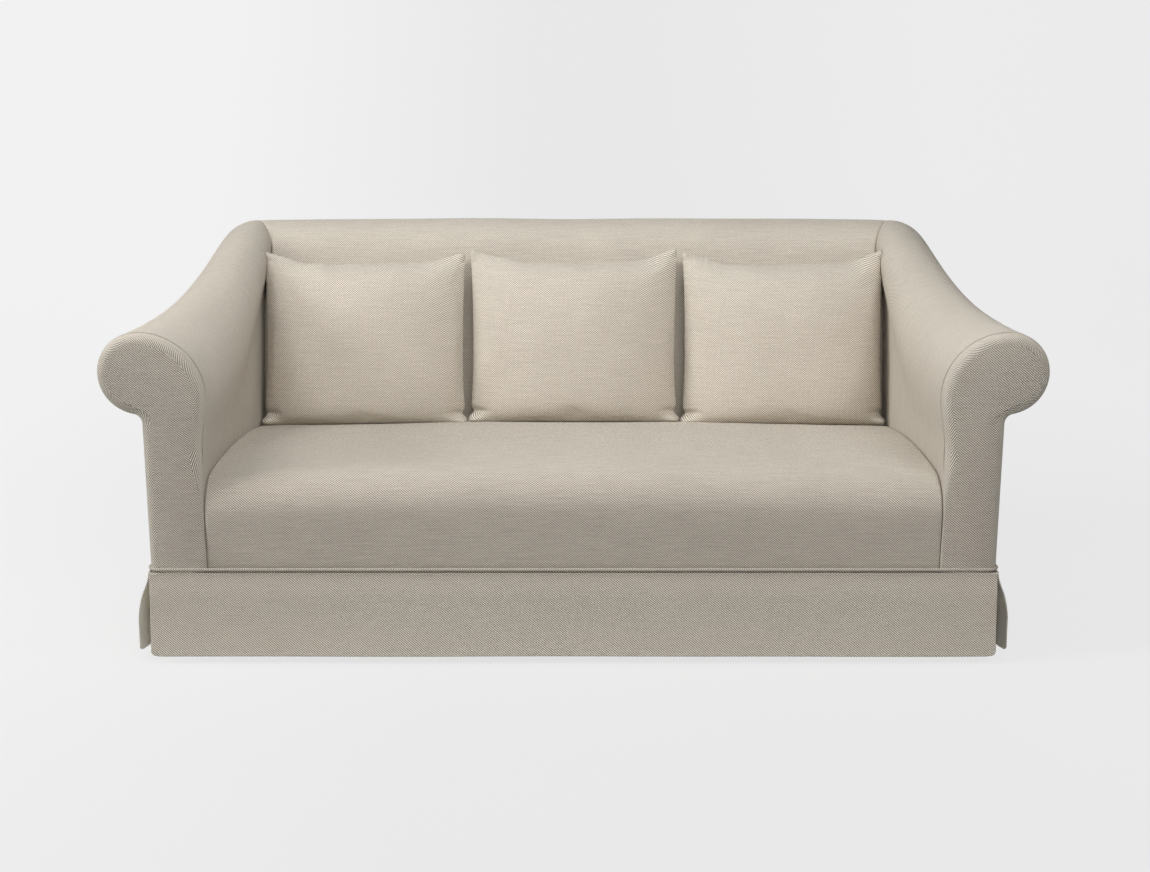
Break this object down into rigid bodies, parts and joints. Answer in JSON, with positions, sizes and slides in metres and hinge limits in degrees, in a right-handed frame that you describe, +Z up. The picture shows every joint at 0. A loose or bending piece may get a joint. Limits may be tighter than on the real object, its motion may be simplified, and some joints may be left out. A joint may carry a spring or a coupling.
{
  "type": "sofa",
  "caption": "Skirted sofa with scrolled arms that sweep up to a tight back, a crowned tight seat and loose scatter pillows, in a light basket weave.",
  "frame": {"origin": "on the floor under the middle of the sofa", "axes": "+X to the right of someone who faces the sofa, the front towards -Y, +Z up"},
  "size_m": [2.1456, 1.0106, 0.9579],
  "materials": {
    "linen_weave": "woven upholstery, ivory warp crossed by taupe yarn, dry and matt",
    "pillow_weave": "the same weave, sewn into knife-edge covers",
    "skirt_cloth": "the same weave, lined",
    "welt_cord": "the same weave cut on the bias round a cord",
    "hardwood": "sawn, unfinished",
    "plywood": "sawn, unfinished",
    "dowel_wood": "fluted, unfinished",
    "foot_wood": "dark stain",
    "spring_steel": "drawn wire",
    "zinc_steel": "zinc plated",
    "glide_plastic": "moulded",
    "felt": "pressed felt",
    "foam": "open-cell foam",
    "webbing": "elastic webbing",
    "cambric": "thin black dust cloth",
    "pillow_filling": "loose fibre in a plain case"
  },
  "bodies": {
    "frame": {"front_rail": "hardwood", "back_rail": "hardwood", "seat_back_rail": "hardwood", "stretchers": "hardwood", "corner_blocks": "hardwood", "back_top_rail": "hardwood", "back_lower_rail": "hardwood", "back_uprights": "hardwood", "inner_rails": "hardwood", "arm_tack_rails": "hardwood", "feet_middle": "foot_wood", "frame_dowels": "dowel_wood", "corner_screws": "zinc_steel", "foot_bolts": "zinc_steel", "foot_glides": "glide_plastic", "seat_springs": "spring_steel", "spring_clips": "zinc_steel", "tie_wires": "spring_steel", "seat_insulator": "felt", "seat_foam": "foam", "seat_pad": "linen_weave", "back_webbing": "webbing", "back_foam": "foam", "back_pad": "linen_weave", "outside_back": "linen_weave", "dust_cover": "cambric", "welt_front": "welt_cord", "welt_back": "welt_cord", "welt_left": "welt_cord", "welt_right": "welt_cord", "side_rail_left": "hardwood", "back_post_left": "hardwood", "arm_front_post_left": "hardwood", "arm_back_post_left": "hardwood", "arm_top_rail_left": "hardwood", "scroll_board_left": "plywood", "arm_pad_left": "linen_weave", "outside_arm_left": "linen_weave", "foot_front_left": "foot_wood", "foot_back_left": "foot_wood", "side_rail_right": "hardwood", "back_post_right": "hardwood", "arm_front_post_right": "hardwood", "arm_back_post_right": "hardwood", "arm_top_rail_right": "hardwood", "scroll_board_right": "plywood", "arm_pad_right": "linen_weave", "outside_arm_right": "linen_weave", "foot_front_right": "foot_wood", "foot_back_right": "foot_wood"},
    "skirt_front": {"skirt_front": "skirt_cloth"},
    "skirt_back": {"skirt_back": "skirt_cloth"},
    "skirt_left": {"skirt_left": "skirt_cloth"},
    "skirt_right": {"skirt_right": "skirt_cloth"},
    "pillow_left": {"pillow_cover_left": "pillow_weave", "pillow_filling_left": "pillow_filling"},
    "pillow_middle": {"pillow_cover_middle": "pillow_weave", "pillow_filling_middle": "pillow_filling"},
    "pillow_right": {"pillow_cover_right": "pillow_weave", "pillow_filling_right": "pillow_filling"}
  },
  "joints": [
    {"name": "pillow_left_lift", "type": "slide", "parent": "frame", "child": "pillow_left", "axis": [0, 0, 1], "range_m": [0, 0.5]},
    {"name": "pillow_middle_lift", "type": "slide", "parent": "frame", "child": "pillow_middle", "axis": [0, 0, 1], "range_m": [0, 0.5]},
    {"name": "pillow_right_lift", "type": "slide", "parent": "frame", "child": "pillow_right", "axis": [0, 0, 1], "range_m": [0, 0.5]},
    {"name": "skirt_front_hem", "type": "hinge", "parent": "frame", "child": "skirt_front", "pos_m": [0, -0.4903, 0.212], "axis": [-1, 0, 0], "range_deg": [0, 90]},
    {"name": "skirt_back_hem", "type": "hinge", "parent": "frame", "child": "skirt_back", "pos_m": [0, 0.4903, 0.212], "axis": [1, 0, 0], "range_deg": [0, 90]},
    {"name": "skirt_right_hem", "type": "hinge", "parent": "frame", "child": "skirt_right", "pos_m": [0.9778, 0, 0.212], "axis": [0, -1, 0], "range_deg": [0, 90]},
    {"name": "skirt_left_hem", "type": "hinge", "parent": "frame", "child": "skirt_left", "pos_m": [-0.9778, 0, 0.212], "axis": [0, 1, 0], "range_deg": [0, 90]}
  ]
}
